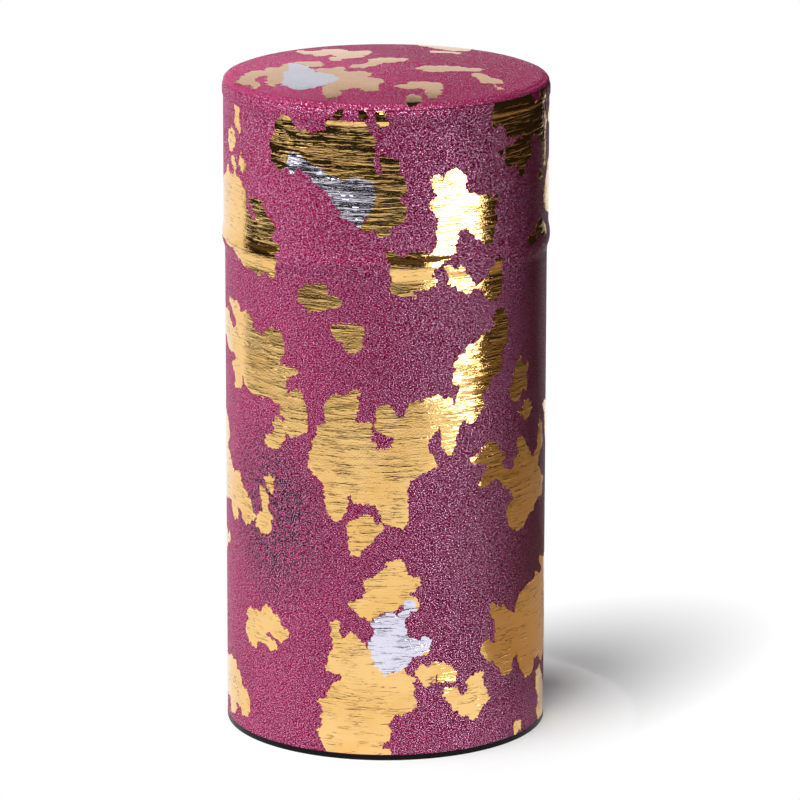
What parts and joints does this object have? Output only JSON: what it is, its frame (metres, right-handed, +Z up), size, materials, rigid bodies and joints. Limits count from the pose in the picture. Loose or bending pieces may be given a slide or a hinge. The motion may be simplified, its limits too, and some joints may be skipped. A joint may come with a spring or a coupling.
{
  "type": "tea caddy",
  "caption": "Paper-covered tin canister for loose tea: a tall round body with a collar, a friction-fit inner lid with a knob, and a deep outer lid.",
  "frame": {"origin": "centre of the rim that the caddy stands on", "axes": "+Z up along the caddy's axis, towards the lid; -Y towards the front, with the lap of the paper at the back"},
  "size_m": [0.0774, 0.0776, 0.1581],
  "materials": {
    "crimson_paper": "matt fibrous handmade paper with a faint pearly sheen, and ragged gold and silver leaf",
    "tinplate": "bright rolled tinplate",
    "bright_tin": "spun and polished",
    "black_lacquer": "black semi-gloss lacquer on tinplate"
  },
  "bodies": {
    "caddy_body": {"base_end": "black_lacquer", "body_tube": "tinplate", "neck_sleeve": "tinplate", "body_wrap": "crimson_paper"},
    "inner_lid": {"inner_lid": "tinplate", "knob": "bright_tin", "knob_rivet": "bright_tin"},
    "outer_lid": {"lid_tube": "tinplate", "lid_end": "tinplate", "lid_wrap": "crimson_paper", "lid_top_paper": "crimson_paper"}
  },
  "joints": [
    {"name": "inner_lid_lift", "type": "slide", "parent": "caddy_body", "child": "inner_lid", "axis": [0, 0, 1], "range_m": [0, 0.06]},
    {"name": "outer_lid_lift", "type": "slide", "parent": "inner_lid", "child": "outer_lid", "axis": [0, 0, 1], "range_m": [0, 0.06]}
  ]
}
